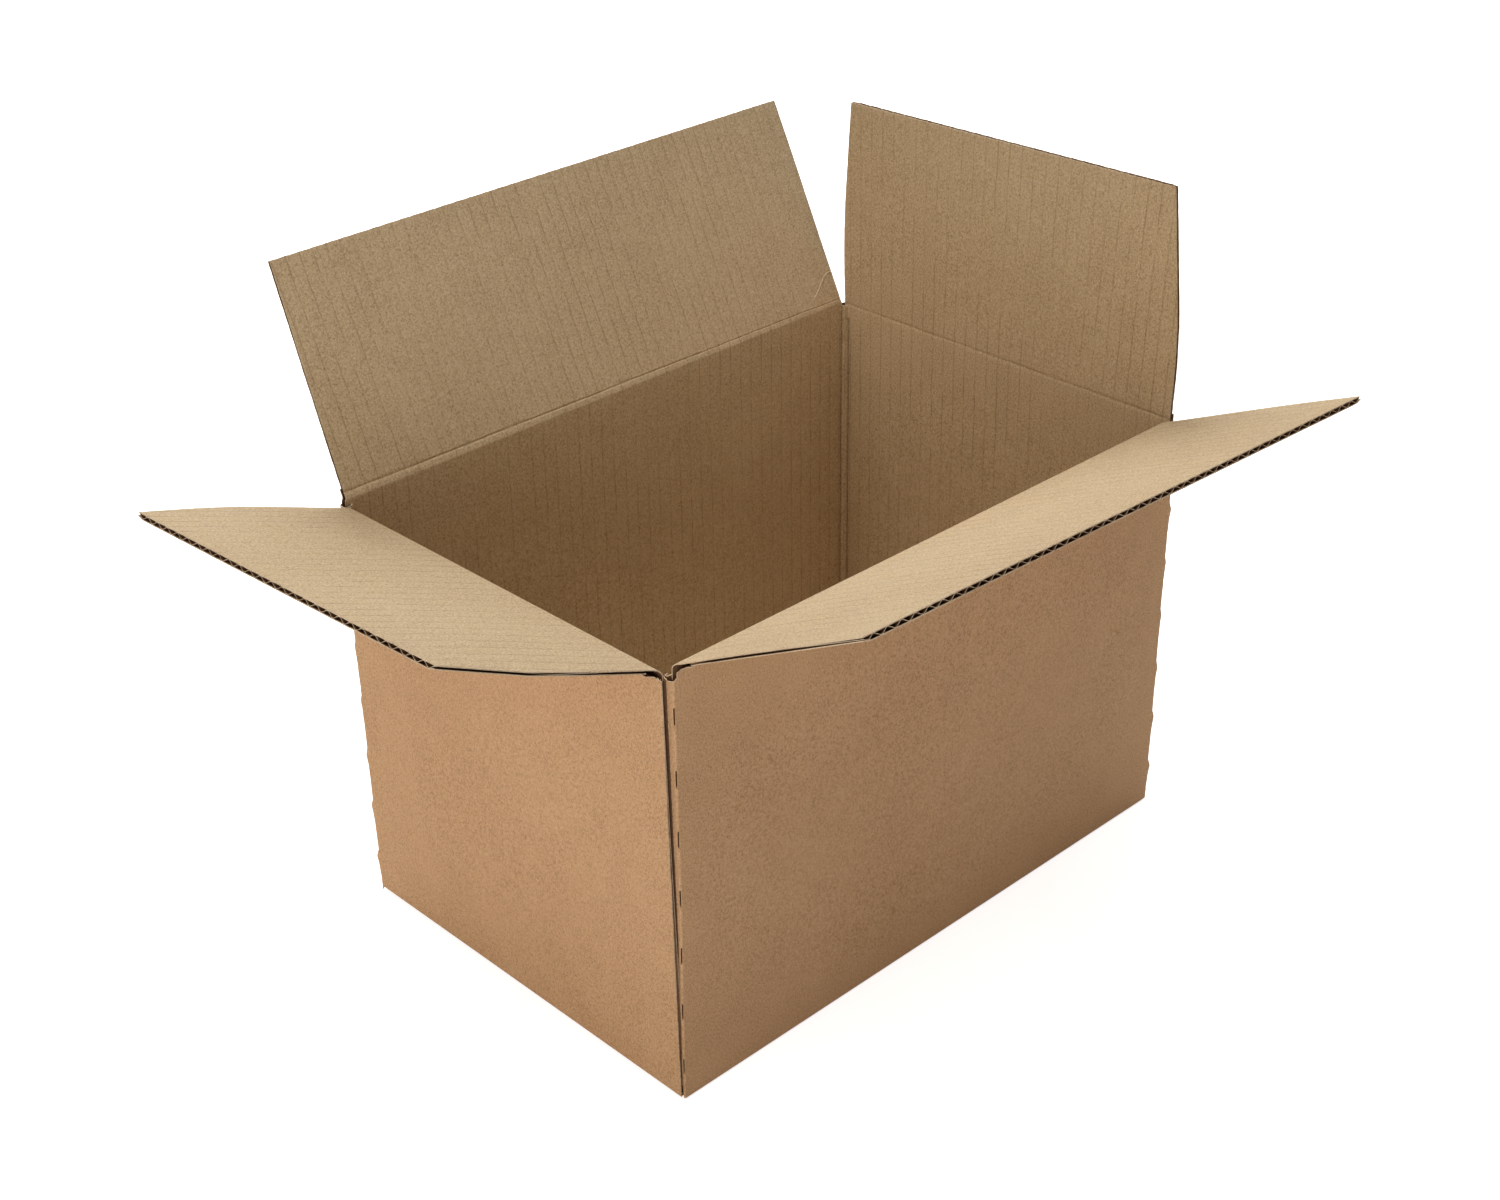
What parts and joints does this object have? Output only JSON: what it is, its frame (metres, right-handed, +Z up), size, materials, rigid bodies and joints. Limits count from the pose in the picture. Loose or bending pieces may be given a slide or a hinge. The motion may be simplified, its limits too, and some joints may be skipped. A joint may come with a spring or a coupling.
{
  "type": "open cardboard box",
  "caption": "Open shipping box folded from brown single-wall corrugated board, with a closed bottom and four top flaps that fold in to close it or back over the outside.",
  "frame": {"origin": "centre of the underside, on the seam where the two long bottom flaps meet", "axes": "+X along the box's long side, +Y across it from the front wall to the back wall, +Z up out of the open top"},
  "size_m": [0.4049, 0.3392, 0.3026],
  "materials": {
    "kraft_board": "matt brown kraft paper on both sides, smooth outside, with faint flute lines inside"
  },
  "bodies": {
    "box": {"box_body": "kraft_board"},
    "front_flap": {"front_flap": "kraft_board"},
    "back_flap": {"back_flap": "kraft_board"},
    "left_flap": {"left_flap": "kraft_board"},
    "right_flap": {"right_flap": "kraft_board"}
  },
  "joints": [
    {"name": "front_flap_fold", "type": "hinge", "parent": "box", "child": "front_flap", "pos_m": [0, -0.102, 0.2008], "axis": [-1, 0, 0], "range_deg": [-111.1, 153.9]},
    {"name": "back_flap_fold", "type": "hinge", "parent": "box", "child": "back_flap", "pos_m": [0, 0.102, 0.2008], "axis": [1, 0, 0], "range_deg": [-149.5, 115.5]},
    {"name": "left_flap_fold", "type": "hinge", "parent": "box", "child": "left_flap", "pos_m": [-0.153, 0, 0.1975], "axis": [0, 1, 0], "range_deg": [-107.5, 157.5]},
    {"name": "right_flap_fold", "type": "hinge", "parent": "box", "child": "right_flap", "pos_m": [0.153, 0, 0.1975], "axis": [0, -1, 0], "range_deg": [-174, 91]}
  ]
}
